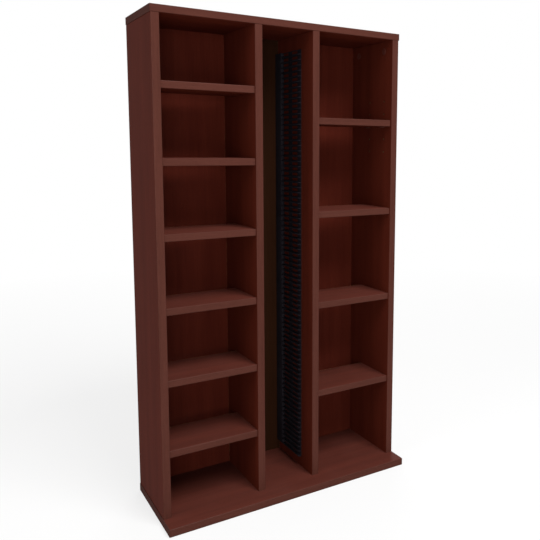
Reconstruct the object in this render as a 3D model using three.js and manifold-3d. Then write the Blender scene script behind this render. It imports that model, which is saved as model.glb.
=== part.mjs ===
// A tall open storage tower for discs, made of faced board.
// Three columns: a narrow middle one with moulded racks, and one of shelves on each side of it.
// Millimetres. X runs to the right, Y from the front to the back, Z up from the floor.
// The origin is under the middle of the unit, at floor level.
import * as THREE from "three";
import { mergeVertices } from "three/addons/utils/BufferGeometryUtils.js";
import Module from "manifold-3d";

const wasm = await Module();
wasm.setup();

// Carcass
const unitWidth = 620; // over the outer faces of the two sides
const unitHeight = 1120;
const sideDepth = 190; // front edge to rear edge of the sides and the top
const uprightThickness = 18;
const topThickness = 16;
const baseThickness = 18;
const middleColumnWidth = 128; // clear, between the two dividers
const baseProjection = 46; // the base in front of the uprights
const baseSideOverhang = 1;
const topOverhang = 1; // at the front and at both ends
const arris = 1.5; // rounding of every edge that faces the front
const arrisSteps = 3;
const boardJointGap = 0.1; // between two boards that meet
const backThickness = 3;
const backSetback = 4.5; // rear face of the back to the rear edges of the sides
const backInGroove = 5.5; // how far the back enters its grooves
const grooveClearance = 0.3; // at both faces of the back
const grooveBottomGap = 0.5;

// Shelves
const shelfThickness = 16;
const shelfDepth = 125;
const shelfSetback = 4; // from the front of the uprights
const holePitch = 32; // every height below is counted in these
const firstShelfLine = 154; // floor to the underside of the lowest left shelf
const leftShelfStep = 5;
const rightShelfStep = 7;
const rightShelfFirst = 2; // above the lowest left shelf
const leastTopSpace = 100; // between the top and the underside of the highest shelf
const looseShelfEndGap = 1.2; // at each end of the shelf that rests on pegs

// Peg holes and pegs of the adjustable shelf, the top one in the right column
const pegHolesEachWay = 2; // above and below the one in use
const pegHoleRadius = 2.6;
const pegHoleDepth = 9.5;
const pegHoleSetback = 34;
const pegRowSpacing = 64;
const pegRadius = 2.4;
const pegLength = 8.5;
const pegNeck = 0.8; // how far the round pin stands out of its hole
const paddleLength = 11;
const paddleWidth = 9;
const paddleThickness = 2.2;
const restGap = 0.1; // between a shelf and what it rests on

// Moulded racks
const slotPitch = 12.8;
const slotsPerRack = 16;
const rackBottomGap = 27; // above the base
const rackSetback = 57; // behind the front of the uprights
const rackRearGap = 0.4; // in front of the rear edge of the dividers
const leastRackTopGap = 20; // between the racks and the top
const rackReach = 8; // from the divider to the tips of the ledges
const rackWall = 1.2;
const ledgeThickness = 2;
const ledgeNose = 4; // rounding of the free front corner of each ledge
const ledgeNoseSteps = 2;
const frontBandShare = 0.144; // of the depth of a rack, from its front edge to the front windows
const frontWindowShare = 0.232;
const middleBandShare = 0.144;
const rearWindowShare = 0.224; // the stop stands at the rear end of these windows
const windowHeight = 6.5; // one pair of windows midway between two ledges
const rackSeam = 0.3; // between one moulding and the next
const spigotRadius = 2.5;
const spigotLength = 5.5;
const spigotClearance = 0.3;
const spigotEndDistance = 33;

// Cam locks, their bolts and caps
const camRadius = 7.3;
const camThickness = 12;
const camClearance = 0.3;
const camDistance = 24; // from the joint to the middle of the lock
const boltShankRadius = 2.9;
const boltShankLength = 10;
const boltNeckRadius = 1.9;
const boltHeadRadius = 3.3;
const boltHeadLength = 2.6;
const boltClearance = 0.3;
const camSetback = 37; // from the front and rear edges of an upright
const capRadius = 8.6;
const capThickness = 0.9;

// Dowels, glued into the board that they belong to and standing out of its end
const dowelRadius = 3.8;
const dowelClearance = 0.3;
const dowelReach = 10;
const dowelBury = 6; // inside the board's own end
const shelfDowelSetback = 28; // from the front and rear edges of a shelf

// Screws up through the base
const screwLength = 50;
const screwRadius = 2.4;
const screwHeadRadius = 4.8;
const screwHeadDepth = 3.4;
const screwRecess = 0.6;
const screwSetback = 37;
const screwClearance = 0.3;

const cutOverrun = 1;
const roundSides = 8;
const hiddenSides = 6;
const camSides = 10;

// Places worked out from the sizes above
const overallDepth = baseProjection + sideDepth;
const baseFront = -overallDepth / 2;
const uprightFront = baseFront + baseProjection;
const sideRear = uprightFront + sideDepth;
const backRear = sideRear - backSetback;
const backFront = backRear - backThickness;
const dividerRear = backFront - boardJointGap;
const uprightRear = {
  left_side: sideRear,
  left_divider: dividerRear,
  right_divider: dividerRear,
  right_side: sideRear,
};
const baseTop = baseThickness;
const topUnderside = unitHeight - topThickness;
const uprightBottom = baseTop + boardJointGap;
const uprightTop = topUnderside - boardJointGap;
const shelfFront = uprightFront + shelfSetback;
const shelfRear = shelfFront + shelfDepth;
const uprightX = {
  left_side: -unitWidth / 2,
  left_divider: -middleColumnWidth / 2 - uprightThickness,
  right_divider: middleColumnWidth / 2,
  right_side: unitWidth / 2 - uprightThickness,
};
const leftColumn = [uprightX.left_side + uprightThickness, uprightX.left_divider];
const rightColumn = [uprightX.right_divider + uprightThickness, uprightX.right_side];
const rackHeight = slotsPerRack * slotPitch;
const rackFront = uprightFront + rackSetback;
const rackRear = dividerRear - rackRearGap;
const rackDepth = rackRear - rackFront;
const frontWindowStart = rackFront + frontBandShare * rackDepth;
const frontWindowEnd = frontWindowStart + frontWindowShare * rackDepth;
const rearWindowStart = frontWindowEnd + middleBandShare * rackDepth;
const rearWindowEnd = rearWindowStart + rearWindowShare * rackDepth;
const rackBottom = baseTop + rackBottomGap;
const racksPerSide = Math.floor((topUnderside - leastRackTopGap - rackBottom) / rackHeight);

// The underside of a shelf that stands so many hole pitches above the lowest left one
const shelfUnderside = (pitches) => firstShelfLine + pitches * holePitch;
// As many shelves as fit below the space under the top, for the first one's line and a step in hole pitches
const shelvesThatFit = (first, step) =>
  1 + Math.floor((topUnderside - leastTopSpace - shelfUnderside(first)) / (step * holePitch));
const leftShelfCount = shelvesThatFit(0, leftShelfStep);
const rightShelfCount = shelvesThatFit(rightShelfFirst, rightShelfStep);

const X = new THREE.Vector3(1, 0, 0);
const Y = new THREE.Vector3(0, 1, 0);
const Z = new THREE.Vector3(0, 0, 1);
const at = (x, y, z) => new THREE.Vector3(x, y, z);
const opposite = (direction) => direction.clone().negate();

const boardFace = new THREE.MeshStandardMaterial({ color: 0x53302b, roughness: 0.55, metalness: 0 });
const backFace = new THREE.MeshStandardMaterial({ color: 0x4a2a24, roughness: 0.7, metalness: 0 });
const blackPlastic = new THREE.MeshStandardMaterial({ color: 0x17171a, roughness: 0.45, metalness: 0 });
const brownPlastic = new THREE.MeshStandardMaterial({ color: 0x4d2c26, roughness: 0.5, metalness: 0 });
const zinc = new THREE.MeshStandardMaterial({ color: 0xa9a9a4, roughness: 0.4, metalness: 0.9 });
const steel = new THREE.MeshStandardMaterial({ color: 0xb4b4b0, roughness: 0.35, metalness: 0.9 });

// Turns a closed geometry into a solid that can be joined and cut.
function solid(geometry) {
  const bare = geometry.clone();
  bare.deleteAttribute("normal");
  bare.deleteAttribute("uv");
  const merged = mergeVertices(bare);
  const vertProperties = new Float32Array(merged.attributes.position.array);
  const triVerts = new Uint32Array(merged.index.array);
  return new wasm.Manifold(new wasm.Mesh({ numProp: 3, vertProperties, triVerts }));
}

// Turns a solid back into a geometry with flat facets.
function faceted(body) {
  const mesh = body.getMesh();
  const geometry = new THREE.BufferGeometry();
  geometry.setAttribute("position", new THREE.BufferAttribute(new Float32Array(mesh.vertProperties), 3));
  geometry.setIndex(new THREE.BufferAttribute(new Uint32Array(mesh.triVerts), 1));
  const flat = geometry.toNonIndexed();
  flat.computeVertexNormals();
  return flat;
}

// Cuts every geometry of a list out of one geometry.
function cut(geometry, cutters) {
  let body = solid(geometry);
  for (const cutter of cutters) {
    body = body.subtract(solid(cutter));
  }
  return faceted(body);
}

// Joins a list of geometries that touch or overlap into one closed body.
function join(geometries) {
  let body = solid(geometries[0]);
  for (const piece of geometries.slice(1)) {
    body = body.add(solid(piece));
  }
  return faceted(body);
}

function box(low, high) {
  const size = high.clone().sub(low);
  const middle = low.clone().add(high).divideScalar(2);
  return new THREE.BoxGeometry(size.x, size.y, size.z).translate(middle.x, middle.y, middle.z);
}

// A cylinder that starts at a point and runs along a direction.
function rod(start, direction, length, radius, sides) {
  return new THREE.CylinderGeometry(radius, radius, length, sides)
    .translate(0, length / 2, 0)
    .applyQuaternion(new THREE.Quaternion().setFromUnitVectors(Y, direction))
    .translate(start.x, start.y, start.z);
}

// A turned piece: its profile is a list of [radius, distance along the axis], from the axis to the axis.
function turned(start, direction, profile, sides) {
  const points = profile.map(([radius, distance]) => new THREE.Vector2(radius, distance));
  return new THREE.LatheGeometry(points, sides)
    .applyQuaternion(new THREE.Quaternion().setFromUnitVectors(Y, direction))
    .translate(start.x, start.y, start.z);
}

// Points of a rectangle whose low-y corners are rounded; u runs across the front edge and v away from it.
function roundedFront(uLow, uHigh, vLow, vHigh, radius, steps) {
  const lowCorner = [];
  const highCorner = [];
  for (let i = 0; i <= steps; i += 1) {
    const angle = (Math.PI / 2) * (i / steps);
    const inwards = radius * (1 - Math.cos(angle));
    const v = vLow + radius * (1 - Math.sin(angle));
    lowCorner.push(new THREE.Vector2(uLow + inwards, v));
    highCorner.unshift(new THREE.Vector2(uHigh - inwards, v));
  }
  return [new THREE.Vector2(uHigh, vHigh), new THREE.Vector2(uLow, vHigh), ...lowCorner, ...highCorner];
}

// An upright board: the rounded outline lies flat and is carried up.
function uprightBoard(xLow, rear) {
  const outline = roundedFront(xLow, xLow + uprightThickness, uprightFront, rear, arris, arrisSteps);
  const height = uprightTop - uprightBottom;
  return new THREE.ExtrudeGeometry(new THREE.Shape(outline), { depth: height, bevelEnabled: false })
    .translate(0, 0, uprightBottom);
}

// A level board: the rounded outline stands on edge and is carried from left to right.
function levelBoard(low, high) {
  const outline = roundedFront(low.z, high.z, low.y, high.y, arris, arrisSteps)
    .map((point) => new THREE.Vector2(point.y, point.x));
  return new THREE.ExtrudeGeometry(new THREE.Shape(outline), { depth: high.x - low.x, bevelEnabled: false })
    .applyMatrix4(new THREE.Matrix4().makeBasis(Y, Z, X))
    .translate(low.x, 0, 0);
}

const tower = new THREE.Group();

// Adds a piece. Its geometry is made in the unit's frame and then taken back to the piece's own corner.
function addPiece(name, geometry, material) {
  geometry.computeBoundingBox();
  const corner = geometry.boundingBox.min.clone();
  geometry.translate(-corner.x, -corner.y, -corner.z);
  const mesh = new THREE.Mesh(geometry, material);
  mesh.name = name;
  mesh.position.copy(corner);
  tower.add(mesh);
}

// Boards by name, each with the dowels glued into it and the holes cut in it
const boards = {};
function addBoard(name, geometry, material = boardFace) {
  boards[name] = { parts: [geometry], holes: [], material };
}
const glue = (name, dowel) => boards[name].parts.push(dowel);
const drill = (name, cutter) => boards[name].holes.push(cutter);

// Carcass
addBoard("base_board", levelBoard(
  at(-unitWidth / 2 - baseSideOverhang, baseFront, 0),
  at(unitWidth / 2 + baseSideOverhang, sideRear, baseTop),
));
for (const [name, x] of Object.entries(uprightX)) {
  addBoard(name, uprightBoard(x, uprightRear[name]));
}
addBoard("top_board", levelBoard(
  at(-unitWidth / 2 - topOverhang, uprightFront - topOverhang, topUnderside),
  at(unitWidth / 2 + topOverhang, sideRear, unitHeight),
));

// The back slides in grooves round its four edges. The dividers end in front of it.
const backLow = at(leftColumn[0] - backInGroove, backFront, baseTop - backInGroove);
const backHigh = at(rightColumn[1] + backInGroove, backRear, topUnderside + backInGroove);
addBoard("back_panel", box(backLow, backHigh), backFace);
const grooveRoom = at(grooveBottomGap, grooveClearance, grooveBottomGap);
for (const name of ["base_board", "left_side", "right_side", "top_board"]) {
  drill(name, box(backLow.clone().sub(grooveRoom), backHigh.clone().add(grooveRoom)));
}

// A dowel glued into the end of one board and standing in its hole in another. along points into the second.
function dowelJoint(owner, other, joint, along) {
  const start = joint.clone().addScaledVector(along, -dowelBury);
  glue(owner, rod(start, along, dowelBury + dowelReach, dowelRadius, hiddenSides));
  const mouth = joint.clone().addScaledVector(along, -cutOverrun);
  const depth = cutOverrun + dowelReach + dowelClearance;
  drill(other, rod(mouth, along, depth, dowelRadius + dowelClearance, hiddenSides));
}

// A cam joint: a bolt screwed into the top board, and the lock in an upright that pulls it down.
// joint is the middle of the bolt where the boards meet. open points out of the face that the lock is set in.
function camJoint(place, upright, joint, open) {
  const down = opposite(Z);
  const inwards = opposite(open);
  const headEnd = camDistance + boltHeadLength / 2;
  const bolt = [
    [0, -boltShankLength],
    [boltShankRadius, -boltShankLength],
    [boltShankRadius, 0],
    [boltNeckRadius, 0],
    [boltNeckRadius, headEnd - boltHeadLength],
    [boltHeadRadius, headEnd - boltHeadLength],
    [boltHeadRadius, headEnd],
    [0, headEnd],
  ];
  const throatRadius = boltHeadRadius + boltClearance;
  const threadHole = rod(
    joint.clone().addScaledVector(down, cutOverrun),
    Z,
    cutOverrun + boltShankLength + boltClearance,
    boltShankRadius + boltClearance,
    hiddenSides,
  );
  const bore = rod(
    joint.clone().addScaledVector(Z, cutOverrun),
    down,
    cutOverrun + camDistance,
    throatRadius,
    hiddenSides,
  );
  const mouth = joint.clone().addScaledVector(down, camDistance).addScaledVector(open, uprightThickness / 2);
  const pocket = rod(
    mouth.clone().addScaledVector(open, cutOverrun),
    inwards,
    cutOverrun + camThickness + camClearance,
    camRadius + camClearance,
    camSides,
  );
  drill("top_board", threadHole);
  drill(upright, bore);
  drill(upright, pocket);
  const disc = rod(mouth, inwards, camThickness, camRadius, camSides);
  const throat = rod(joint, down, headEnd + boltClearance, throatRadius, hiddenSides);
  const capStart = mouth.clone().addScaledVector(open, boardJointGap);
  addPiece(`cam_bolt_${place}`, turned(joint, down, bolt, hiddenSides), steel);
  addPiece(`cam_lock_${place}`, cut(disc, [throat]), zinc);
  addPiece(`cam_cap_${place}`, rod(capStart, open, capThickness, capRadius, camSides), brownPlastic);
}

// A countersunk screw up through the base into the end of an upright.
function baseScrew(place, upright, x, y) {
  const head = at(x, y, screwRecess);
  const screw = [
    [0, 0],
    [screwHeadRadius, 0],
    [screwRadius, screwHeadDepth],
    [screwRadius, screwLength],
    [0, screwLength],
  ];
  const wideHead = screwHeadRadius + screwClearance;
  const wideShank = screwRadius + screwClearance;
  const through = [
    [0, -screwRecess - cutOverrun],
    [wideHead, -screwRecess - cutOverrun],
    [wideHead, 0],
    [wideShank, screwHeadDepth],
    [wideShank, baseThickness + cutOverrun],
    [0, baseThickness + cutOverrun],
  ];
  const pilotStart = uprightBottom - cutOverrun;
  const pilotEnd = screwRecess + screwLength + screwClearance;
  drill("base_board", turned(head, Z, through, hiddenSides));
  drill(upright, rod(at(x, y, pilotStart), Z, pilotEnd - pilotStart, wideShank, hiddenSides));
  addPiece(`base_screw_${place}`, turned(head, Z, screw, hiddenSides), steel);
}

// What holds each upright at its two ends. The locks open to the right, but to the left on the right side.
const lockFace = { left_side: X, left_divider: X, right_divider: X, right_side: opposite(X) };
for (const [name, x] of Object.entries(uprightX)) {
  const middleX = x + uprightThickness / 2;
  const frontY = uprightFront + camSetback;
  const rearY = uprightRear[name] - camSetback;
  camJoint(`${name}_front`, name, at(middleX, frontY, topUnderside), lockFace[name]);
  if (uprightRear[name] === sideRear) {
    camJoint(`${name}_rear`, name, at(middleX, rearY, topUnderside), lockFace[name]);
  } else {
    dowelJoint(name, "top_board", at(middleX, rearY, topUnderside), Z);
  }
  baseScrew(`${name}_front`, name, middleX, uprightFront + screwSetback);
  baseScrew(`${name}_rear`, name, middleX, uprightRear[name] - screwSetback);
}

// A shelf between two uprights, with a gap at each end.
function addShelf(name, column, endGap, underside) {
  addBoard(name, levelBoard(
    at(column[0] + endGap, shelfFront, underside),
    at(column[1] - endGap, shelfRear, underside + shelfThickness),
  ));
}

// A fixed shelf has two glued dowels in each end.
function fixedShelf(name, column, leftUpright, rightUpright, underside) {
  addShelf(name, column, boardJointGap, underside);
  const middleZ = underside + shelfThickness / 2;
  for (const y of [shelfFront + shelfDowelSetback, shelfRear - shelfDowelSetback]) {
    dowelJoint(name, leftUpright, at(column[0], y, middleZ), opposite(X));
    dowelJoint(name, rightUpright, at(column[1], y, middleZ), X);
  }
}

for (let i = 1; i <= leftShelfCount; i += 1) {
  const underside = shelfUnderside((leftShelfCount - i) * leftShelfStep);
  fixedShelf(`left_shelf_${i}`, leftColumn, "left_side", "left_divider", underside);
}
const rightUnderside = (i) => shelfUnderside(rightShelfFirst + (rightShelfCount - i) * rightShelfStep);
for (let i = 2; i <= rightShelfCount; i += 1) {
  fixedShelf(`right_shelf_${i}`, rightColumn, "right_divider", "right_side", rightUnderside(i));
}

// The top shelf of the right column lies loose on four pegs, and can be moved to the holes above and below.
const looseUnderside = rightUnderside(1);
addShelf("right_shelf_1", rightColumn, looseShelfEndGap, looseUnderside);

// A peg: a round pin in its hole, and a flat paddle under the shelf.
function shelfPeg(seat, into) {
  const out = opposite(into);
  const neck = seat.clone().addScaledVector(out, pegNeck);
  const pin = rod(neck, into, pegNeck + pegLength, pegRadius, roundSides);
  const ends = [boardJointGap, paddleLength].map((reach) => seat.x + out.x * reach);
  const paddle = box(
    at(Math.min(...ends), seat.y - paddleWidth / 2, seat.z - restGap - paddleThickness),
    at(Math.max(...ends), seat.y + paddleWidth / 2, seat.z - restGap),
  );
  return join([pin, paddle]);
}

const pegSides = [
  { side: "left", upright: "right_divider", x: rightColumn[0], into: opposite(X) },
  { side: "right", upright: "right_side", x: rightColumn[1], into: X },
];
const pegRows = [
  { row: "front", y: uprightFront + pegHoleSetback },
  { row: "rear", y: uprightFront + pegHoleSetback + pegRowSpacing },
];
for (const { side, upright, x, into } of pegSides) {
  for (const { row, y } of pegRows) {
    for (let step = -pegHolesEachWay; step <= pegHolesEachWay; step += 1) {
      const start = at(x, y, looseUnderside + step * holePitch).addScaledVector(into, -cutOverrun);
      drill(upright, rod(start, into, cutOverrun + pegHoleDepth, pegHoleRadius, roundSides));
    }
    addPiece(`shelf_peg_${side}_${row}`, shelfPeg(at(x, y, looseUnderside), into), brownPlastic);
  }
}

// A ledge of a rack: a thin plate whose free front corner is rounded off. Its rear end is in the stop.
function ledge(root, tip, low) {
  const side = Math.sign(tip - root);
  const rear = rearWindowEnd + rackWall / 2;
  const points = [
    new THREE.Vector2(root, rackFront),
    new THREE.Vector2(root, rear),
    new THREE.Vector2(tip, rear),
  ];
  for (let i = 0; i <= ledgeNoseSteps; i += 1) {
    const angle = (Math.PI / 2) * (i / ledgeNoseSteps);
    const x = tip - side * ledgeNose * (1 - Math.cos(angle));
    points.push(new THREE.Vector2(x, rackFront + ledgeNose * (1 - Math.sin(angle))));
  }
  return new THREE.ExtrudeGeometry(new THREE.Shape(points), { depth: ledgeThickness, bevelEnabled: false })
    .translate(0, 0, low);
}

// The wall of a rack in plan, carried up: a web against the divider, then the stop, which is an open
// channel that reaches as far out as the ledges.
function rackWallStrip(root, webFace, tip, low, high) {
  const innerFace = tip + root - webFace;
  const points = [
    [root, rackFront],
    [webFace, rackFront],
    [webFace, rearWindowEnd],
    [tip, rearWindowEnd],
    [tip, rackRear],
    [root, rackRear],
    [root, rackRear - rackWall],
    [innerFace, rackRear - rackWall],
    [innerFace, rearWindowEnd + rackWall],
    [root, rearWindowEnd + rackWall],
  ].map(([x, y]) => new THREE.Vector2(x, y));
  return new THREE.ExtrudeGeometry(new THREE.Shape(points), { depth: high - low, bevelEnabled: false })
    .translate(0, 0, low);
}

// The two windows in the web of a rack above one of its ledges, as boxes that overrun the web
function rackWindows(root, webFace, low) {
  const xLow = Math.min(root, webFace) - cutOverrun;
  const xHigh = Math.max(root, webFace) + cutOverrun;
  const middle = low + (slotPitch + ledgeThickness) / 2;
  return [[frontWindowStart, frontWindowEnd], [rearWindowStart, rearWindowEnd]].map(([start, end]) => box(
    at(xLow, start, middle - windowHeight / 2),
    at(xHigh, end, middle + windowHeight / 2),
  ));
}

// One rack moulding: its wall, its ledges, and two spigots pressed into the divider.
// face is the divider's surface and out is the way that the ledges point.
function rackMoulding(divider, face, out, bottom) {
  const into = opposite(out);
  const root = face + out.x * boardJointGap;
  const webFace = root + out.x * rackWall;
  const tip = face + out.x * rackReach;
  const ledgeLows = Array.from({ length: slotsPerRack }, (_, i) => bottom + i * slotPitch);
  const strip = rackWallStrip(root, webFace, tip, bottom, bottom + rackHeight - rackSeam);
  const parts = [cut(strip, ledgeLows.flatMap((low) => rackWindows(root, webFace, low)))];
  for (const low of ledgeLows) {
    parts.push(ledge(webFace, tip, low));
  }
  const y = (frontWindowEnd + rearWindowStart) / 2;
  for (const z of [bottom + spigotEndDistance, bottom + rackHeight - spigotEndDistance]) {
    const holeStart = at(face + out.x * cutOverrun, y, z);
    const holeDepth = cutOverrun + spigotLength + spigotClearance;
    parts.push(rod(at(webFace, y, z), into, rackWall + spigotLength, spigotRadius, hiddenSides));
    drill(divider, rod(holeStart, into, holeDepth, spigotRadius + spigotClearance, hiddenSides));
  }
  return join(parts);
}

for (let i = 1; i <= racksPerSide; i += 1) {
  const bottom = rackBottom + (racksPerSide - i) * rackHeight;
  const half = middleColumnWidth / 2;
  addPiece(`disc_rack_left_${i}`, rackMoulding("left_divider", -half, X, bottom), blackPlastic);
  addPiece(`disc_rack_right_${i}`, rackMoulding("right_divider", half, opposite(X), bottom), blackPlastic);
}

// Each board is joined with its dowels, then drilled, and added last.
for (const [name, { parts, holes, material }] of Object.entries(boards)) {
  addPiece(name, cut(join(parts), holes), material);
}

export default tower;
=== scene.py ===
import math
from functools import reduce

import bpy
import numpy as np
from mathutils import Matrix, Vector


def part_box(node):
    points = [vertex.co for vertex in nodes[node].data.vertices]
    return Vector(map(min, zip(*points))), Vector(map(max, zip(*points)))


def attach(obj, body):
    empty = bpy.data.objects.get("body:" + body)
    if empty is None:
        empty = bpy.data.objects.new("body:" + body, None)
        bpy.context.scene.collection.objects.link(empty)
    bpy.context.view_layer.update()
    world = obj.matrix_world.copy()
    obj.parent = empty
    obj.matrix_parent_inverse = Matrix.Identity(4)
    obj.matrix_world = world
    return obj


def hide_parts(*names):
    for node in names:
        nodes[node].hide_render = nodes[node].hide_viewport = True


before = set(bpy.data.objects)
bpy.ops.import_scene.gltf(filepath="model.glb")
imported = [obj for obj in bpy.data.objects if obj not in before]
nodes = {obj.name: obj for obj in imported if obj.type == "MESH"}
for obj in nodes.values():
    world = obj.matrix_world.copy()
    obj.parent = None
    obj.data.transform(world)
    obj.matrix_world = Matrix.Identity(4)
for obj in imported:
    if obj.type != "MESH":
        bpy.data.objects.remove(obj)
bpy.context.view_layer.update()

MM = 0.001
ALONG_X, ALONG_Y, ALONG_Z = 0, 1, 2
UP, DOWN = (0, 0, 1), (0, 0, -1)

# The unit's boards. The grain runs up the uprights, and from left to right along all the others.
UPRIGHTS = ["left_side", "left_divider", "right_divider", "right_side"]
SHELVES = [f"left_shelf_{i}" for i in range(1, 7)] + [f"right_shelf_{i}" for i in range(1, 5)]
LEVEL_ENDS = ["base_board", "top_board"]
FITTING_PLACES = [name[len("cam_lock_"):] for name in sorted(nodes) if name.startswith("cam_lock_")]

# Racks, as in the model
RACKS_PER_SIDE = 5
SLOTS_PER_RACK = 16
SLOT_PITCH = 12.8 * MM
RACK_HEIGHT = SLOTS_PER_RACK * SLOT_PITCH
RACK_SETBACK = 57 * MM
RACK_DEPTH = 125 * MM
RACK_REACH = 8 * MM
RACK_GAP = 0.1 * MM
RACK_SEAM = 0.3 * MM
RACK_WALL = 1.2 * MM
WALL_EDGE = 0.3 * MM
WALL_CORNER = 0.5 * MM
STOP_CORNER = 0.8 * MM
FRONT_BAND = 18 * MM
FRONT_WINDOW = 29 * MM
MIDDLE_BAND = 18 * MM
REAR_WINDOW = 28 * MM
WINDOW_HEIGHT = 6.5 * MM
WINDOW_CORNER = 1.6 * MM
LEDGE_THICKNESS = 2 * MM
LEDGE_NOSE = 4 * MM
LEDGE_EDGE = 0.55 * MM
LEDGE_SINK = 0.9 * MM
LEDGE_CORNER = 0.7 * MM
SPIGOT_RADIUS = 2.5 * MM
SPIGOT_LENGTH = 5.5 * MM
SPIGOT_EDGE = 0.5 * MM
SPIGOT_END_DISTANCE = 33 * MM

# Base screws
SCREW_HEAD_RADIUS = 4.8 * MM
SCREW_HEAD_DEPTH = 3.4 * MM
SCREW_HEAD_BEVEL = 0.3 * MM
SCREW_HEAD_RIM = 0.25 * MM
SCREW_RADIUS = 2.4 * MM
SCREW_SHANK_SHARE = 0.85  # of the thread's radius
SCREW_NECK = 0.5 * MM
SCREW_CORE_RADIUS = 1.6 * MM
SCREW_LENGTH = 50 * MM
THREAD_PITCH = 2.5 * MM
THREAD_START = 12 * MM
TIP_RADIUS = 0.2 * MM
RECESS_ARM = 2.6 * MM
RECESS_WIDTH = 1.1 * MM
RECESS_DEPTH = 1.9 * MM
RECESS_OVERRUN_SHARE = 0.5  # of its depth, out of the face that it is cut in
RECESS_TAPER_SHARE = 0.6  # its size at the bottom, of that where the cutter starts

# Cam locks, bolts and caps
CAM_RADIUS = 7.3 * MM
CAM_THICKNESS = 12 * MM
CAM_EDGE = 0.5 * MM
CAM_THROAT_RADIUS = 3.6 * MM
CAM_THROAT_CLEARANCE = 0.3 * MM
CAM_SLOT_ARM = 4.2 * MM
CAM_SLOT_WIDTH = 1.6 * MM
CAM_SLOT_DEPTH = 3.0 * MM
BOLT_SHANK_RADIUS = 2.9 * MM
BOLT_SHANK_CORE = 2.2 * MM
BOLT_SHANK_LENGTH = 10 * MM
BOLT_THREAD_TURNS = 4
BOLT_COLLAR = 0.8 * MM
BOLT_STEP = 0.1 * MM
BOLT_NECK_RADIUS = 1.9 * MM
BOLT_HEAD_RADIUS = 3.3 * MM
BOLT_HEAD_LENGTH = 2.6 * MM
BOLT_EDGE = 0.5 * MM
CAP_RADIUS = 8.6 * MM
CAP_THICKNESS = 0.9 * MM
CAP_RIM = 0.35 * MM
CAP_RIM_SHARES = [(0.4, 0), (0, 0.6), (0.5, 1.5)]  # of the rim: in from the cap's radius, and up
CAP_DOME_SHARES = [(0.82, 0.86), (0.5, 0.97)]  # of the cap's radius, and of its thickness

# Shelf pegs
PEG_RADIUS = 2.4 * MM
PEG_EDGE = 0.5 * MM
PEG_NECK = 0.8 * MM
PEG_NECK_EDGE = 0.15 * MM
PADDLE_LENGTH = 11 * MM
PADDLE_GAP = 0.1 * MM
PADDLE_THICKNESS = 2.2 * MM
PADDLE_EDGE = 0.5 * MM
PADDLE_CORNER = 0.6 * MM
PADDLE_END_FLAT = 0.2 * MM

# Segments round a turned piece, and steps in a rounded edge or corner
ROUND = 40
SCREW_ROUND = 28
SPIGOT_ROUND = 20
EDGE_STEPS = 4
CORNER_STEPS = 5
PADDLE_STEPS = 8
SMOOTH_ANGLE = math.radians(38)

# How a plate lies: what the two directions of its outline and its thickness run along
LYING = [ALONG_X, ALONG_Y, ALONG_Z]
ON_EDGE = [ALONG_Y, ALONG_Z, ALONG_X]


def linear(red, green, blue):
    """A display colour, 0 to 255, as the linear colour that a shader takes."""
    def channel(value):
        share = value / 255
        return share / 12.92 if share <= 0.04045 else ((share + 0.055) / 1.055) ** 2.4
    return (channel(red), channel(green), channel(blue), 1.0)


# Colours, as display colours
FACE_DARK = linear(75, 28, 18)
FACE_LIGHT = linear(95, 39, 27)
BAND_DARK = linear(70, 38, 31)
BAND_LIGHT = linear(85, 48, 40)
# painted sheen: a pale grey mixed a little into faces that look up
TOP_SHEEN = linear(200, 192, 186)
# dark of the pores in the print, also used as painted shade inside the holes
PORE_AND_HOLE_SHADE = linear(44, 19, 15)
GLUE_LINE = linear(34, 17, 14)
CHIP_DARK = linear(118, 84, 54)
CHIP_LIGHT = linear(190, 156, 112)
BACK_DARK = linear(73, 26, 18)
BACK_LIGHT = linear(91, 37, 26)
# painted shade: the back's print in the middle column, darker and browner
SHADED_MIDDLE_BACK_DARK = linear(40, 22, 12)
SHADED_MIDDLE_BACK_LIGHT = linear(52, 29, 17)
HARDBOARD_DARK = linear(92, 62, 40)
HARDBOARD_LIGHT = linear(128, 92, 62)
RACK_BLACK = linear(31, 27, 32)
RACK_WORN = linear(42, 38, 43)
BROWN_DARK = linear(76, 34, 26)
BROWN_LIGHT = linear(92, 43, 34)
ZINC_DARK = linear(140, 140, 138)
ZINC_LIGHT = linear(182, 182, 178)
STEEL_DARK = linear(168, 168, 164)
STEEL_LIGHT = linear(206, 206, 202)
FLOOR_WHITE = linear(250, 250, 250)
FLOOR_SHADE = linear(246, 246, 245)
WHITE = linear(255, 255, 255)

# Patches of the printed wood: their length along the grain and their width across it
FIGURE = (420 * MM, 26 * MM)
STREAK = (85 * MM, 2.4 * MM)
PORES = (9 * MM, 0.55 * MM)

# Patches of the other patterns: their sizes along X, Y and Z
MOTTLE = (70 * MM, 70 * MM, 70 * MM)
PRESSED = (0.35 * MM, 0.35 * MM, 0.35 * MM)
CHIPS = (1.6 * MM, 1.1 * MM, 1.3 * MM)
CHIP_DUST = (0.7 * MM, 0.7 * MM, 0.7 * MM)
FIBRE = (6 * MM, 0.8 * MM, 1.0 * MM)
FIBRE_CLOUD = (60 * MM, 60 * MM, 60 * MM)
FLOW = (30 * MM, 60 * MM, 18 * MM)
GRIT = (0.25 * MM, 0.25 * MM, 0.25 * MM)
PLATING = (5 * MM, 5 * MM, 5 * MM)
STEEL_MARKS = (0.3 * MM, 6 * MM, 0.3 * MM)
ZINC_MARKS = (1.0 * MM, 1.0 * MM, 1.0 * MM)
FLOOR_CLOUD = (400 * MM, 400 * MM, 400 * MM)

# Each board's foil is cut from its own place in the print. A number made from the board's name gives that
# place, in steps along X, Y and Z that begin again after a span.
CUT_STEPS = (0.37, 0.73, 0.51)
CUT_SPANS = (11, 13, 17)
BACK_CUT = (3.1, 7.7, 5.3)

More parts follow.
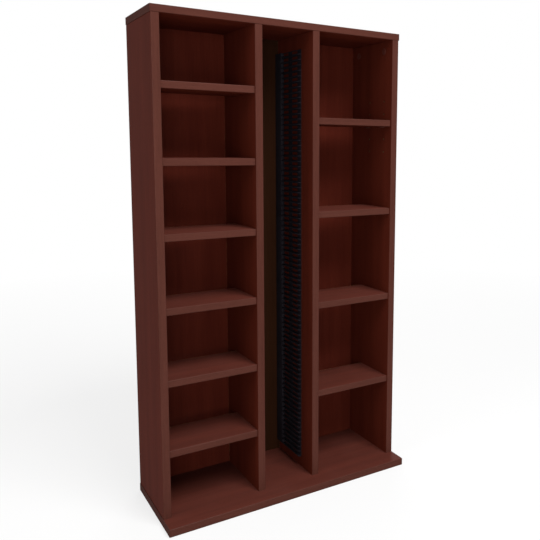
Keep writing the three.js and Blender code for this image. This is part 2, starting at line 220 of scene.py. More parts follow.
# Foil and edge bands
BAND_DEPTH = 0.9 * MM
GLUE_LINE_WIDTH = 0.16 * MM
SKIN = 0.25 * MM
HOLE_MARGIN = 3 * MM  # no hole in a board's face is as near as this to a banded edge
# how far the painted shade darkens the bare chips inside the holes
HOLE_PAINTED_SHADE = 0.8
# share of the painted sheen on faces that look up
TOP_SHEEN_SHARE = 0.015
PRINT_SHARE = 0.4  # of the back's thickness, from its front
SOFT = 0.05 * MM  # the width over which one finish gives way to the next
MIDDLE_SOFT = 1 * MM

# Relief of the finishes
FOIL_RELIEF = 0.06 * MM
BACK_RELIEF = 0.08 * MM
PLASTIC_RELIEF = 0.03 * MM
METAL_RELIEF = 0.02 * MM

# A Mix node's sockets for colours
MIX_SHARE, MIX_FIRST, MIX_SECOND, MIX_RESULT = 0, 6, 7, 2


class Wire:
    """A shader value with Python's operators: each one adds the Math node that works it out."""

    def __init__(self, shader, socket):
        self.shader = shader
        self.socket = socket

    def _math(self, operation, *values, clamp=False):
        settings = {"operation": operation, "use_clamp": clamp}
        return self.shader.node("ShaderNodeMath", settings, dict(enumerate(values)))

    def __add__(self, other):
        return self._math("ADD", self, other)

    def __sub__(self, other):
        return self._math("SUBTRACT", self, other)

    def __mul__(self, other):
        return self._math("MULTIPLY", self, other)

    def __truediv__(self, other):
        return self._math("DIVIDE", self, other)

    def __radd__(self, other):
        return self._math("ADD", other, self)

    def __rsub__(self, other):
        return self._math("SUBTRACT", other, self)

    def __rmul__(self, other):
        return self._math("MULTIPLY", other, self)

    def __rtruediv__(self, other):
        return self._math("DIVIDE", other, self)

    def __abs__(self):
        return self._math("ABSOLUTE", self)

    def above(self, edge, width):
        """0 below the edge and 1 above it, over a width."""
        return self._math("ADD", (self - edge) / width, 0.5, clamp=True)

    def below(self, edge, width):
        """1 below the edge and 0 above it, over a width."""
        return 1 - self.above(edge, width)

    def both(self, other):
        """The smaller of two values, so 1 where both are 1."""
        return self._math("MINIMUM", self, other)

    def either(self, other):
        """The larger of two values, so 1 where either is 1."""
        return self._math("MAXIMUM", self, other)


class Shader:
    """A node tree that is built node by node."""

    def __init__(self, tree):
        self.tree = tree
        self.tree.nodes.clear()

    def node(self, kind, settings=None, sockets=None, output=0):
        """Adds a node of a type, with its settings first and then its sockets' values or links."""
        made = self.tree.nodes.new(kind)
        for key, value in (settings or {}).items():
            setattr(made, key, value)
        for key, value in (sockets or {}).items():
            if isinstance(value, Wire):
                self.tree.links.new(value.socket, made.inputs[key])
            else:
                made.inputs[key].default_value = value
        return Wire(self, made.outputs[output]) if made.outputs else None

    def seen(self):
        """1 for what the camera sees, straight, reflected or through glass, and 0 for light that spreads."""
        kinds = ("Is Camera Ray", "Is Glossy Ray", "Is Transmission Ray")
        return reduce(Wire.either, [self.node("ShaderNodeLightPath", output=kind) for kind in kinds])


class Finish(Shader):
    """A material whose patterns lie on the object's own coordinates."""

    def __init__(self, name):
        self.material = bpy.data.materials.new(name)
        self.material.use_nodes = True
        super().__init__(self.material.node_tree)
        self.place = self.node("ShaderNodeTexCoord", output="Object")

    def axis(self, index):
        """One coordinate of the place on the object, in metres."""
        return self.node("ShaderNodeSeparateXYZ", sockets={0: self.place}, output=index)

    def in_patches(self, sizes, shift=(0.0, 0.0, 0.0)):
        """The place on the object, counted in patches of these sizes along X, Y and Z, in metres."""
        sockets = {"Vector": self.place, "Location": shift, "Scale": tuple(1 / size for size in sizes)}
        return self.node("ShaderNodeMapping", None, sockets)

    def noise(self, sizes, detail, roughness, shift=(0.0, 0.0, 0.0)):
        """Noise from 0 to 1 in patches of these sizes."""
        sockets = {
            "Vector": self.in_patches(sizes, shift),
            "Scale": 1.0,
            "Detail": detail,
            "Roughness": roughness,
        }
        return self.node("ShaderNodeTexNoise", None, sockets)

    def cells(self, sizes):
        """Cells of these sizes, each with its own random colour."""
        sockets = {"Vector": self.in_patches(sizes), "Scale": 1.0}
        return self.node("ShaderNodeTexVoronoi", None, sockets, output="Color")

    def mix(self, share, first, second):
        """A colour between two others."""
        sockets = {MIX_SHARE: share, MIX_FIRST: first, MIX_SECOND: second}
        return self.node("ShaderNodeMix", {"data_type": "RGBA"}, sockets, output=MIX_RESULT)

    def bump(self, height, distance):
        """A relief: a height from 0 to 1 over a distance in metres."""
        return self.node("ShaderNodeBump", None, {"Height": height, "Distance": distance, "Strength": 1.0})

    def close(self, colour, roughness, normal, metallic=0.0, specular=0.5, coat=0.0, coat_roughness=0.2):
        """Ends the material with one surface shader."""
        self.end(self.node("ShaderNodeBsdfPrincipled", None, {
            "Base Color": colour,
            "Roughness": roughness,
            "Metallic": metallic,
            "Specular IOR Level": specular,
            "Coat Weight": coat,
            "Coat Roughness": coat_roughness,
            "Normal": normal,
        }))
        return self.material

    def end(self, surface):
        self.node("ShaderNodeOutputMaterial", None, {"Surface": surface})


def grain_sizes(along, patch):
    """Sizes along X, Y and Z of a patch whose length runs along one axis."""
    length, width = patch
    return tuple(length if axis == along else width for axis in range(3))


def wood_grain(finish, along, cut):
    """The printed wood of a foil: broad figure, fine streaks and short dark pores, all along one axis.
    Gives the figure, the streaks and the pores, each from 0 to 1."""
    figure = finish.noise(grain_sizes(along, FIGURE), 4.0, 0.55, cut)
    streak = finish.noise(grain_sizes(along, STREAK), 3.0, 0.6, cut)
    pores = finish.noise(grain_sizes(along, PORES), 2.0, 0.5, cut)
    return figure.above(0.5, 0.42), streak.above(0.5, 0.5), pores.above(0.66, 0.1)


def chipboard(finish):
    """The colour of bare particle board: pressed chips, each of its own tone, and the dust between them."""
    tone = finish.node("ShaderNodeSeparateColor", None, {0: finish.cells(CHIPS)})
    dust = finish.noise(CHIP_DUST, 3.0, 0.7)
    return finish.mix(tone * 0.65 + dust * 0.35, CHIP_DARK, CHIP_LIGHT)


def facing_up(finish):
    """1 on what looks up, and 0 on upright faces."""
    normal = finish.node("ShaderNodeTexCoord", output="Normal")
    return finish.node("ShaderNodeSeparateXYZ", sockets={0: normal}, output=ALONG_Z).above(0.7, 0.3)


def board_material(name, along):
    """Foil-faced board: grain along one axis, a lighter banded edge wherever it faces out at the front or
    at an outer end, bare chips at the rear edge and inside the holes, where painted shade darkens them,
    and a painted sheen that lightens the faces which look up."""
    low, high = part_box(name)
    number = sum(ord(letter) for letter in name)
    cut = tuple(number * step % span for step, span in zip(CUT_STEPS, CUT_SPANS))
    finish = Finish(name + "_foil")
    x, y, z = (finish.axis(index) for index in (ALONG_X, ALONG_Y, ALONG_Z))
    from_bands = [y - low.y]
    if name in LEVEL_ENDS:
        from_bands.append(high.x - abs(x))
    from_lines = [abs(depth - BAND_DEPTH) for depth in from_bands]
    at_band = reduce(Wire.either, [depth.below(BAND_DEPTH, SOFT) for depth in from_bands])
    on_line = reduce(Wire.either, [distance.below(GLUE_LINE_WIDTH, SOFT) for distance in from_lines])

    figure, streak, pores = wood_grain(finish, along, cut)
    mottle = finish.noise(MOTTLE, 2.0, 0.5, cut)
    face = finish.mix(figure * 0.5 + streak * 0.3 + mottle * 0.2, FACE_DARK, FACE_LIGHT)
    band = finish.mix(streak * 0.6 + figure * 0.4, BAND_DARK, BAND_LIGHT)
    printed = finish.mix(at_band, face, band)
    printed = finish.mix(pores * 0.5, printed, PORE_AND_HOLE_SHADE)
    printed = finish.mix(on_line * 0.55, printed, GLUE_LINE)
    # Painted sheen: faces that look up are lightened a little towards a pale grey, as light catching them.
    printed = finish.mix(facing_up(finish) * (TOP_SHEEN_SHARE + mottle * TOP_SHEEN_SHARE), printed, TOP_SHEEN)

    bare = y.above(high.y - SKIN, SOFT)
    chips = chipboard(finish)
    if name in UPRIGHTS or name in LEVEL_ENDS:
        across, first, last = (x, low.x, high.x) if name in UPRIGHTS else (z, low.z, high.z)
        inside = across.above(first + SKIN, SOFT).both(across.below(last - SKIN, SOFT))
        for depth in from_bands:
            inside = inside.both(depth.above(HOLE_MARGIN, SOFT))
        bare = bare.either(inside)
        # Painted shade: the bare chips inside the holes are darkened towards the pore colour, as shade in
        # the recess.
        chips = finish.mix(inside * HOLE_PAINTED_SHADE, chips, PORE_AND_HOLE_SHADE)

    colour = finish.mix(bare, printed, chips)
    rough = 0.46 + streak * 0.06 + pores * 0.12 - at_band * 0.05 + bare * 0.38
    pressed = finish.noise(PRESSED, 2.0, 0.6)
    height = (1 - pores) * 0.7 + streak * 0.2 + pressed * 0.1 + bare * pressed * 2.0
    relief = finish.bump(height, FOIL_RELIEF)
    return finish.close(colour, rough, relief, specular=0.0, coat=0.06, coat_roughness=0.3)


def back_material():
    """Thin hardboard: printed at the front with upright grain, plain brown fibre at the rear. In the middle
    column the front is painted darker and browner, as painted shade."""
    low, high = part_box("back_panel")
    middle_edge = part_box("right_divider")[0].x
    finish = Finish("back_foil")
    figure, streak, pores = wood_grain(finish, ALONG_Z, BACK_CUT)
    tone = figure * 0.55 + streak * 0.45
    # Painted shade: in the middle column the back is painted darker and browner.
    in_shaded_middle = abs(finish.axis(ALONG_X)).below(middle_edge, MIDDLE_SOFT)
    outer_print = finish.mix(tone, BACK_DARK, BACK_LIGHT)
    shaded_middle_print = finish.mix(tone, SHADED_MIDDLE_BACK_DARK, SHADED_MIDDLE_BACK_LIGHT)
    front = finish.mix(in_shaded_middle, outer_print, shaded_middle_print)
    front = finish.mix(pores * 0.45, front, PORE_AND_HOLE_SHADE)
    fibre = finish.noise(FIBRE, 5.0, 0.7)
    cloud = finish.noise(FIBRE_CLOUD, 3.0, 0.5)
    rear = finish.mix(fibre * 0.7 + cloud * 0.3, HARDBOARD_DARK, HARDBOARD_LIGHT)
    at_rear = finish.axis(ALONG_Y).above(low.y + PRINT_SHARE * (high.y - low.y), SOFT)
    colour = finish.mix(at_rear, front, rear)
    height = (1 - pores) * 0.5 * (1 - at_rear) + fibre * at_rear
    relief = finish.bump(height, BACK_RELIEF)
    return finish.close(colour, 0.6 + at_rear * 0.25, relief, specular=0.0, coat=0.03, coat_roughness=0.4)


def plastic_material(name, dark, light, rough, specular):
    """Moulded plastic: nearly one colour, with a fine spark-eroded texture and faint flow marks."""
    finish = Finish(name)
    flow = finish.noise(FLOW, 3.0, 0.6)
    grit = finish.noise(GRIT, 2.0, 0.6)
    colour = finish.mix(flow.above(0.55, 0.5) * 0.6 + grit * 0.2, dark, light)
    relief = finish.bump(grit, PLASTIC_RELIEF)
    return finish.close(colour, rough + flow * 0.1 + grit * 0.05, relief, specular=specular)


def metal_material(name, dark, light, rough, mark_sizes):
    """Plated metal: a clouded tone and fine tool marks."""
    finish = Finish(name)
    cloud = finish.noise(PLATING, 4.0, 0.6)
    marks = finish.noise(mark_sizes, 2.0, 0.5)
    colour = finish.mix(cloud * 0.6 + marks * 0.4, dark, light)
    relief = finish.bump(marks, METAL_RELIEF)
    return finish.close(colour, rough + cloud * 0.12, relief, metallic=1.0)


def mesh_from(name, points, faces):
    """A mesh from an array of points and a list of faces, each a list of numbers of points."""
    mesh = bpy.data.meshes.new(name)
    mesh.from_pydata(np.asarray(points, float).tolist(), [], faces)
    mesh.validate()
    return mesh


def rings_mesh(name, rings):
    """A closed surface through rings of the same number of points, with its two ends closed by flat faces.
    rings has the shape (ring, point, 3), and its points run anticlockwise round the way from ring to ring.
    Quad (i, j) joins points j and j+1 of rings i and i+1."""
    count, around = rings.shape[:2]
    index = np.arange(count * around).reshape(count, around)
    onward = np.roll(index, -1, axis=1)
    quads = np.stack([index[:-1], onward[:-1], onward[1:], index[1:]], axis=-1).reshape(-1, 4)
    faces = quads.tolist() + [index[0][::-1].tolist(), index[-1].tolist()]
    return mesh_from(name, rings.reshape(-1, 3), faces)


def quarter_round(radius, steps):
    """Insets and heights of a quarter round: r(1 - sin a) and r(1 - cos a), for a from 0 to 90 degrees."""
    angle = np.linspace(0, math.pi / 2, steps + 1)
    return radius * (1 - np.sin(angle)), radius * (1 - np.cos(angle))


def left_normals(edges):
    """Unit normals on the left of flat edges (x, y): (-y, x) over the edge's length."""
    return np.stack([-edges[:, 1], edges[:, 0]], axis=1) / np.linalg.norm(edges, axis=1)[:, None]


def rounded_plate(name, outline, low, high, edge, axes):
    """A flat plate with rounded edges, from an anticlockwise outline. Each ring is the outline with its
    corners moved inwards by the inset of a quarter round times (n + m) / (1 + n.m), where n and m are the
    normals of the edges before and after the corner. axes is LYING or ON_EDGE."""
    before = left_normals(outline - np.roll(outline, 1, axis=0))
    after = left_normals(np.roll(outline, -1, axis=0) - outline)
    inward = (before + after) / (1 + (before * after).sum(axis=1))[:, None]
    inset, height = quarter_round(edge, EDGE_STEPS)
    insets = np.concatenate([inset, inset[::-1]])
    levels = np.concatenate([low + height, high - height[::-1]])
    rings = np.zeros((len(levels), len(outline), 3))
    rings[:, :, axes[:2]] = outline[None] + inward[None] * insets[:, None, None]
    rings[:, :, axes[2]] = levels[:, None]
    return rings_mesh(name, rings)


def rounded_outline(corners, radii, steps=CORNER_STEPS):
    """An outline whose square corners are rounded off. Where it comes into a corner c along d and leaves
    along e, its arc of radius r is c + r(e - d) + r(d sin a - e cos a), for a from 0 to 90 degrees."""
    corners = np.array(corners, float)
    leaving = np.roll(corners, -1, axis=0) - corners
    leaving = leaving / np.linalg.norm(leaving, axis=1)[:, None]
    coming = np.roll(leaving, 1, axis=0)
    angle = np.linspace(0, math.pi / 2, steps + 1)[None, :, None]
    e, d = leaving[:, None], coming[:, None]
    arcs = (e - d) + d * np.sin(angle) - e * np.cos(angle)
    return (corners[:, None] + np.array(radii)[:, None, None] * arcs).reshape(-1, 2)


def rectangle(u_low, u_high, v_low, v_high):
    """The corners of a rectangle, anticlockwise from the low one."""
    return [(u_low, v_low), (u_high, v_low), (u_high, v_high), (u_low, v_high)]


def turned(name, place, direction, profile, segments=ROUND):
    """A turned piece: profile lists (radius, distance along the direction) from the start of the axis to
    its end. Ring i lies at place + direction * distance, at its radius round it."""
    along = np.array(direction, float)
    side = np.array([0.0, 1.0, 0.0]) if abs(along[1]) < 0.5 else np.array([0.0, 0.0, 1.0])
    other = np.cross(along, side)
    angle = np.linspace(0, 2 * math.pi, segments, endpoint=False)
    radius, distance = np.array(profile, float).T
    circle = np.cos(angle)[:, None] * side + np.sin(angle)[:, None] * other
    rings = np.array(place) + along * distance[:, None, None] + circle[None] * radius[:, None, None]
    return rings_mesh(name, rings)


def joined(name, meshes):
    """One mesh that holds several closed ones."""
    points, faces, offset = [], [], 0
    for mesh in meshes:
        flat = np.zeros(len(mesh.vertices) * 3)
        mesh.vertices.foreach_get("co", flat)
        points.append(flat.reshape(-1, 3))
        faces += [[offset + corner for corner in polygon.vertices] for polygon in mesh.polygons]
        offset += len(mesh.vertices)
    return mesh_from(name, np.concatenate(points), faces)


def boolean(first, second, operation):
    """A new mesh: the union or difference of two closed meshes."""
    holder = bpy.data.objects.new("first", first)
    tool = bpy.data.objects.new("second", second)
    for piece in (holder, tool):
        bpy.context.scene.collection.objects.link(piece)
    modifier = holder.modifiers.new("cut", "BOOLEAN")
    modifier.operation = operation
    modifier.solver = "EXACT"
    modifier.object = tool
    graph = bpy.context.evaluated_depsgraph_get()
    mesh = bpy.data.meshes.new_from_object(holder.evaluated_get(graph))
    for piece in (holder, tool):
        bpy.data.objects.remove(piece)
    return mesh


def add_piece(mesh, name, node, body, material):
    """Puts a finished mesh in the scene in place of a node of the model."""
    mesh.materials.clear()
    mesh.materials.append(material)
    mesh.shade_smooth()
    mesh.set_sharp_from_angle(angle=SMOOTH_ANGLE)
    piece = bpy.data.objects.new(name, mesh)
    bpy.context.scene.collection.objects.link(piece)
    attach(piece, body)
    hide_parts(node)


def moved_copy(mesh, offset):
    copy = mesh.copy()
    copy.transform(Matrix.Translation(offset))
    return copy


def wall_outline(root, web, tip, front, stop, rear, out):
    """A rack's wall from above: a web against the divider, and behind it the stop, an open channel that
    reaches as far out as the ledges."""
    inner = tip - out * RACK_WALL
    corners = [
        (web, front),
        (web, stop),
        (tip, stop),
        (tip, rear),
        (root, rear),
        (root, rear - RACK_WALL),
        (inner, rear - RACK_WALL),
        (inner, stop + RACK_WALL),
        (root, stop + RACK_WALL),
        (root, front),
    ]
    radii = [STOP_CORNER if corner[0] == tip else WALL_CORNER for corner in corners]
    return rounded_outline(corners, radii)[::out]


def ledge_outline(web, tip, front, rear, out):
    """A ledge from above. It starts inside the web, and its free front corner is a round nose."""
    root = web - out * LEDGE_SINK
    corners = [(root, front), (tip, front), (tip, rear), (root, rear)]
    return rounded_outline(corners, [LEDGE_CORNER, LEDGE_NOSE, LEDGE_CORNER, LEDGE_CORNER])[::out]


def window_cutter(front, rear, middle, x_low, x_high):
    """What cuts one window: a plate on edge with round corners, right through the web."""
    corners = rectangle(front, rear, middle - WINDOW_HEIGHT / 2, middle + WINDOW_HEIGHT / 2)
    outline = rounded_outline(corners, [WINDOW_CORNER] * len(corners))
    return rounded_plate("window", outline, x_low, x_high, WALL_EDGE, ON_EDGE)


def spigot_mesh(place, out):
    """A short pin with a bevelled end, which points into the divider."""
    profile = [
        (SPIGOT_RADIUS, 0),
        (SPIGOT_RADIUS, SPIGOT_LENGTH - SPIGOT_EDGE),
        (SPIGOT_RADIUS - SPIGOT_EDGE, SPIGOT_LENGTH),
    ]
    return turned("spigot", place, (-out, 0, 0), profile, SPIGOT_ROUND)


def rack_mesh(face, out, front, bottom):
    """One rack moulding: its wall with a pair of windows above each ledge, the ledges, and two spigots.
    face is the divider's surface. out is +1 where the ledges point along +X and -1 where along -X."""
    root = face + out * RACK_GAP
    web = root + out * RACK_WALL
    tip = face + out * RACK_REACH
    window_front = front + FRONT_BAND
    band_front = window_front + FRONT_WINDOW
    band_rear = band_front + MIDDLE_BAND
    stop = band_rear + REAR_WINDOW
    x_low, x_high = sorted((root - out * RACK_WALL, web + out * RACK_WALL))
    ledge = ledge_outline(web, tip, front, stop + RACK_WALL / 2, out)
    windows, ledges = [], []
    for i in range(SLOTS_PER_RACK):
        low = bottom + i * SLOT_PITCH
        ledges.append(rounded_plate("ledge", ledge, low, low + LEDGE_THICKNESS, LEDGE_EDGE, LYING))
        middle = low + (SLOT_PITCH + LEDGE_THICKNESS) / 2
        windows.append(window_cutter(window_front, band_front, middle, x_low, x_high))
        windows.append(window_cutter(band_rear, stop - WALL_CORNER, middle, x_low, x_high))
    wall = wall_outline(root, web, tip, front, stop, front + RACK_DEPTH, out)
    mesh = rounded_plate("wall", wall, bottom, bottom + RACK_HEIGHT - RACK_SEAM, WALL_EDGE, LYING)
    mesh = boolean(mesh, joined("windows", windows), "DIFFERENCE")
    mesh = boolean(mesh, joined("ledges", ledges), "UNION")
    x, y = root + out * RACK_WALL / 2, band_front + MIDDLE_BAND / 2
    heights = (bottom + SPIGOT_END_DISTANCE, bottom + RACK_HEIGHT - SPIGOT_END_DISTANCE)
    spigots = [spigot_mesh((x, y, z), out) for z in heights]
    return boolean(mesh, joined("spigots", spigots), "UNION")


def add_racks(material):
    """Five mouldings up each wall of the middle column: one is made for each wall, and copied upwards."""
    for side, divider, out in (("left", "left_divider", 1), ("right", "right_divider", -1)):
        low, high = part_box(divider)
        face = high.x if out > 0 else low.x
        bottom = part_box(f"disc_rack_{side}_{RACKS_PER_SIDE}")[0].z
        mesh = rack_mesh(face, out, low.y + RACK_SETBACK, bottom)
        for i in range(1, RACKS_PER_SIDE + 1):
            name = f"disc_rack_{side}_{i}"
            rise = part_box(name)[0].z - bottom
            add_piece(moved_copy(mesh, (0, 0, rise)), name + "_moulding", name, "unit", material)


def cross(place, direction, arm, width, depth):
    """Two crossed bars, the cutter of a cross recess: each reaches arm to both sides and narrows on its
    way in, to depth."""
    along = np.array(direction, float)
    side = np.array([0.0, 1.0, 0.0])
    other = np.cross(along, side)
    levels = np.array([-depth * RECESS_OVERRUN_SHARE, depth])
    sizes = np.array([1.0, RECESS_TAPER_SHARE])
    bars = []
    for u, v in ((arm, width / 2), (width / 2, arm)):
        corners = np.array(rectangle(-u, u, -v, v))
        flat = corners[None, :, 0, None] * side + corners[None, :, 1, None] * other
        rings = np.array(place, float) + along * levels[:, None, None] + flat * sizes[:, None, None]
        bars.append(rings_mesh("bar", rings))
    return bars


def centre_of(node):
    low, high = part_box(node)
    return (low + high) / 2


def screw_profile():
    """Radius and height of a countersunk screw from its head up: bevel, cone, plain shank, a thread of
    rings, and the tip."""
    shank_radius = SCREW_RADIUS * SCREW_SHANK_SHARE
    profile = [
        (SCREW_HEAD_RADIUS - SCREW_HEAD_BEVEL, 0),
        (SCREW_HEAD_RADIUS, SCREW_HEAD_RIM),
        (SCREW_RADIUS, SCREW_HEAD_DEPTH),
        (shank_radius, SCREW_HEAD_DEPTH + SCREW_NECK),
        (shank_radius, THREAD_START),
    ]
    turns = int((SCREW_LENGTH - THREAD_START) / THREAD_PITCH) - 1
    for turn in range(turns):
        start = THREAD_START + turn * THREAD_PITCH
        profile += [
            (SCREW_CORE_RADIUS, start + THREAD_PITCH * 0.25),
            (SCREW_RADIUS, start + THREAD_PITCH * 0.5),
            (SCREW_CORE_RADIUS, start + THREAD_PITCH * 0.75),
        ]
    return profile + [(TIP_RADIUS, SCREW_LENGTH)]


def add_base_screws(material):
    """Countersunk screws up through the base, each with a cross recess in its head."""
    for upright in UPRIGHTS:
        for row in ("front", "rear"):
            name = f"base_screw_{upright}_{row}"
            place = centre_of(name)
            place.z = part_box(name)[0].z
            mesh = turned(name, place, UP, screw_profile(), SCREW_ROUND)
            for bar in cross(place, UP, RECESS_ARM, RECESS_WIDTH, RECESS_DEPTH):
                mesh = boolean(mesh, bar, "DIFFERENCE")
            add_piece(mesh, name + "_turned", name, "unit", material)


def lock_mesh(name, mouth, out, joint, reach):
    """A cam lock: a bevelled disc with a cross slot in its open face, and a throat from the joint down for
    the bolt, which stands reach out of the joint."""
    inwards = (-out, 0, 0)
    disc = turned(name, mouth, inwards, [
        (CAM_RADIUS - CAM_EDGE, 0),
        (CAM_RADIUS, CAM_EDGE),
        (CAM_RADIUS, CAM_THICKNESS - CAM_EDGE),
        (CAM_RADIUS - CAM_EDGE, CAM_THICKNESS),
    ])
    for bar in cross(mouth, inwards, CAM_SLOT_ARM, CAM_SLOT_WIDTH, CAM_SLOT_DEPTH):
        disc = boolean(disc, bar, "DIFFERENCE")
    throat = [(CAM_THROAT_RADIUS, 0), (CAM_THROAT_RADIUS, reach + CAM_THROAT_CLEARANCE)]
    return boolean(disc, turned("throat", joint, DOWN, throat), "DIFFERENCE")


def bolt_mesh(name, joint, reach):
    """A cam bolt: a threaded shank above the joint, and below it a neck and a head, which stand reach out
    of the joint."""
    pitch = BOLT_SHANK_LENGTH / (BOLT_THREAD_TURNS + 1)
    profile = [(BOLT_SHANK_CORE, -BOLT_SHANK_LENGTH)]
    for turn in range(BOLT_THREAD_TURNS):
        profile += [
            (BOLT_SHANK_RADIUS, -BOLT_SHANK_LENGTH + pitch * (turn + 0.5)),
            (BOLT_SHANK_CORE, -BOLT_SHANK_LENGTH + pitch * (turn + 1)),
        ]
    head = reach - BOLT_HEAD_LENGTH
    profile += [
        (BOLT_SHANK_RADIUS, -BOLT_COLLAR),
        (BOLT_SHANK_RADIUS, -BOLT_STEP),
        (BOLT_NECK_RADIUS, BOLT_STEP),
        (BOLT_NECK_RADIUS, head),
        (BOLT_HEAD_RADIUS - BOLT_EDGE, head),
        (BOLT_HEAD_RADIUS, head + BOLT_EDGE),
        (BOLT_HEAD_RADIUS, reach - BOLT_EDGE),
        (BOLT_HEAD_RADIUS - BOLT_EDGE, reach),
    ]
    return turned(name, joint, DOWN, profile)


def cap_mesh(name, place, out):
    """A cover cap: a rim with a rounded edge, and a low dome."""
    profile = [(CAP_RADIUS - CAP_RIM * inwards, CAP_RIM * up) for inwards, up in CAP_RIM_SHARES]
    profile += [(CAP_RADIUS * width, CAP_THICKNESS * up) for width, up in CAP_DOME_SHARES]
    profile.append((TIP_RADIUS, CAP_THICKNESS))
    return turned(name, place, (out, 0, 0), profile)


def add_cams(zinc, steel, brown):
    """The lock, the bolt and the cap of each cam joint. A lock opens to the side that its cap is on."""
    for place in FITTING_PLACES:
        lock, bolt, cap = f"cam_lock_{place}", f"cam_bolt_{place}", f"cam_cap_{place}"
        middle = centre_of(lock)
        out = 1 if centre_of(cap).x > middle.x else -1
        lock_low, lock_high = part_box(lock)
        mouth = (lock_high.x if out > 0 else lock_low.x, middle.y, middle.z)
        bolt_low, bolt_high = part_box(bolt)
        bolt_middle = centre_of(bolt)
        joint = (bolt_middle.x, bolt_middle.y, bolt_high.z - BOLT_SHANK_LENGTH)
        reach = joint[ALONG_Z] - bolt_low.z
        cap_low, cap_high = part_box(cap)
        seat = (cap_low.x if out > 0 else cap_high.x, middle.y, middle.z)
        add_piece(lock_mesh(lock, mouth, out, joint, reach), lock + "_cast", lock, "unit", zinc)
        add_piece(bolt_mesh(bolt, joint, reach), bolt + "_turned", bolt, "unit", steel)
        add_piece(cap_mesh(cap, seat, out), cap + "_moulded", cap, "unit", brown)


def peg_mesh(name, out):
    """A shelf peg: a round pin with a rounded end, and a paddle with a round free end, which points to +X
    where out is +1 and to -X where it is -1."""
    low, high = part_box(name)
    deep, free = (low.x, high.x) if out > 0 else (high.x, low.x)
    face = free - out * PADDLE_LENGTH
    pin_length = abs(face - deep) + PEG_NECK
    pin = turned("pin", (deep, centre_of(name).y, high.z - PEG_RADIUS), (out, 0, 0), [
        (PEG_RADIUS - PEG_EDGE, 0),
        (PEG_RADIUS, PEG_EDGE),
        (PEG_RADIUS, pin_length - PEG_NECK_EDGE),
        (PEG_RADIUS - PEG_NECK_EDGE, pin_length),
    ])
    u_low, u_high = sorted((face + out * PADDLE_GAP, free))
    free_corner = (high.y - low.y) / 2 - PADDLE_END_FLAT
    left, right = (PADDLE_CORNER, free_corner) if out > 0 else (free_corner, PADDLE_CORNER)
    corners = rectangle(u_low, u_high, low.y, high.y)
    outline = rounded_outline(corners, [left, right, right, left], PADDLE_STEPS)
    paddle = rounded_plate("paddle", outline, low.z, low.z + PADDLE_THICKNESS, PADDLE_EDGE, LYING)
    return boolean(pin, paddle, "UNION")


def add_pegs(material):
    """The four pegs under the loose shelf."""
    for side, out in (("left", 1), ("right", -1)):
        for row in ("front", "rear"):
            name = f"shelf_peg_{side}_{row}"
            add_piece(peg_mesh(name, out), name + "_moulded", name, "unit", material)


def paint(name, material):
    for slot in nodes[name].material_slots:
        slot.material = material


def paint_boards():
    """Gives each board of the model its own foil."""
    for name in UPRIGHTS:
        paint(name, board_material(name, ALONG_Z))
    for name in SHELVES + LEVEL_ENDS:
        paint(name, board_material(name, ALONG_X))
    paint("back_panel", back_material())


# The floor, in metres. It fades into the white background from FADE_START to FADE_START + FADE_WIDTH.
FLOOR_RADIUS = 9.0
FLOOR_SIDES = 96
FLOOR_LEVEL = -0.2 * MM
FADE_START = 0.9
FADE_WIDTH = 2.2
NEAR_GLOW = 0.75  # how much of the background is already in the floor near the object
FLOOR_BOUNCE = (0.6, 0.6, 0.6, 1.0)


def add_floor():
    """A wide pale floor that holds the object's shadow and turns into the white background away from it."""
    angle = np.linspace(0, 2 * math.pi, FLOOR_SIDES, endpoint=False)
    level = np.full(len(angle), FLOOR_LEVEL)
    points = np.stack([FLOOR_RADIUS * np.cos(angle), FLOOR_RADIUS * np.sin(angle), level], axis=1)
    mesh = mesh_from("floor", points, [list(range(len(angle)))])
    finish = Finish("floor_white")
    distance = finish.node("ShaderNodeVectorMath", {"operation": "LENGTH"}, {0: finish.place}, output=1)
    far = distance.above(FADE_START + FADE_WIDTH / 2, FADE_WIDTH)
    glowing = far * (1 - NEAR_GLOW) + NEAR_GLOW
    pale = finish.mix(finish.noise(FLOOR_CLOUD, 2.0, 0.5), FLOOR_WHITE, FLOOR_SHADE)
    matt = finish.node("ShaderNodeBsdfDiffuse", None, {"Color": pale})
    glow = finish.node("ShaderNodeEmission", None, {"Color": WHITE, "Strength": 1.0})
    seen_floor = finish.node("ShaderNodeMixShader", None, {0: glowing, 1: matt, 2: glow})
    dull = finish.node("ShaderNodeBsdfDiffuse", None, {"Color": FLOOR_BOUNCE})
    finish.end(finish.node("ShaderNodeMixShader", None, {0: finish.seen(), 1: dull, 2: seen_floor}))
    mesh.materials.append(finish.material)
    floor = bpy.data.objects.new("floor", mesh)
    bpy.context.scene.collection.objects.link(floor)


AMBIENT = 0.26


def add_world():
    """Even pale light from all sides. The background itself is white."""
    world = bpy.data.worlds.new("studio")
    bpy.context.scene.world = world
    world.use_nodes = True
    shader = Shader(world.node_tree)
    strength = shader.seen() * (1 - AMBIENT) + AMBIENT
    background = shader.node("ShaderNodeBackground", None, {"Color": WHITE, "Strength": strength})
    shader.node("ShaderNodeOutputWorld", None, {"Surface": background})


# Square lamps that face the middle of the unit: name, place and width in metres, and power in watts
UNIT_MIDDLE = (0.0, 0.0, 0.55)
LAMPS = [
    ("key", (0.4, -1.9, 3.0), 1.5, 97),
    ("front", (-1.3, -3.0, 0.7), 1.4, 34),
    ("side", (-2.75, -0.75, 1.6), 1.2, 15.5),
    ("rear", (1.6, 3.0, 1.9), 2.0, 40),
]


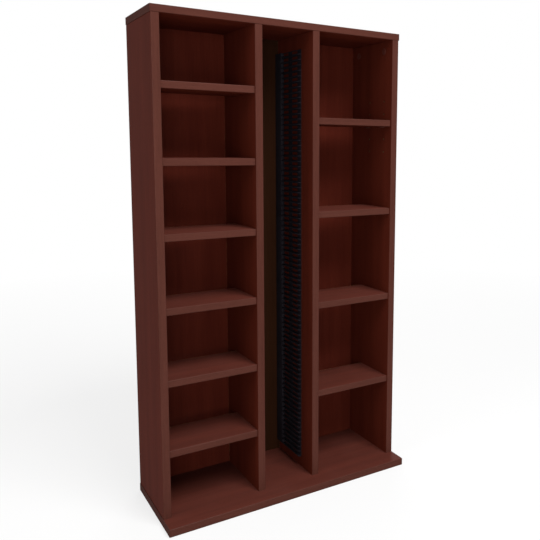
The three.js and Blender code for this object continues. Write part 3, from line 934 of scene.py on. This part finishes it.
def add_lamps():
    for name, place, width, power in LAMPS:
        light = bpy.data.lights.new(name, "AREA")
        light.shape = "SQUARE"
        light.size = width
        light.energy = power
        lamp = bpy.data.objects.new(name, light)
        lamp.location = place
        lamp.rotation_euler = (Vector(UNIT_MIDDLE) - Vector(place)).to_track_quat("-Z", "Y").to_euler()
        bpy.context.scene.collection.objects.link(lamp)


# The photograph's view: a 540 pixel square, its focal length and its optical centre in pixels
IMAGE = 540
FOCAL = 655.3
OPTICAL_CENTRE = (355.5, 226.0)
SENSOR = 36.0  # millimetres
CAMERA_PLACE = (-0.700, -1.434, 0.838)
CAMERA_HEADING = -0.5768  # radians, about Z
CAMERA_TILT = -0.1203
CAMERA_ROLL = -0.0098


def add_camera():
    """The axes right, forward and up are the columns of Rz(heading) Rx(tilt) Ry(roll)."""
    turn = Matrix.Rotation(CAMERA_HEADING, 3, "Z") @ Matrix.Rotation(CAMERA_TILT, 3, "X")
    turn = turn @ Matrix.Rotation(CAMERA_ROLL, 3, "Y")
    right, forward, up = turn.col
    basis = Matrix((right, up, -forward)).transposed().to_4x4()
    data = bpy.data.cameras.new("camera")
    data.sensor_width = SENSOR
    data.lens = FOCAL / IMAGE * SENSOR
    data.shift_x = (IMAGE / 2 - OPTICAL_CENTRE[0]) / IMAGE
    data.shift_y = (OPTICAL_CENTRE[1] - IMAGE / 2) / IMAGE
    camera = bpy.data.objects.new("camera", data)
    camera.matrix_world = Matrix.Translation(CAMERA_PLACE) @ basis
    bpy.context.scene.collection.objects.link(camera)
    bpy.context.scene.camera = camera


bpy.context.scene.view_settings.view_transform = "Standard"
add_camera()
add_world()
add_lamps()
add_floor()
paint_boards()
steel = metal_material("steel_plated", STEEL_DARK, STEEL_LIGHT, 0.32, STEEL_MARKS)
zinc = metal_material("zinc_cast", ZINC_DARK, ZINC_LIGHT, 0.42, ZINC_MARKS)
brown = plastic_material("brown_moulded", BROWN_DARK, BROWN_LIGHT, 0.5, 0.2)
add_racks(plastic_material("rack_black", RACK_BLACK, RACK_WORN, 0.7, 0.06))
add_cams(zinc, steel, brown)
add_base_screws(steel)
add_pegs(brown)
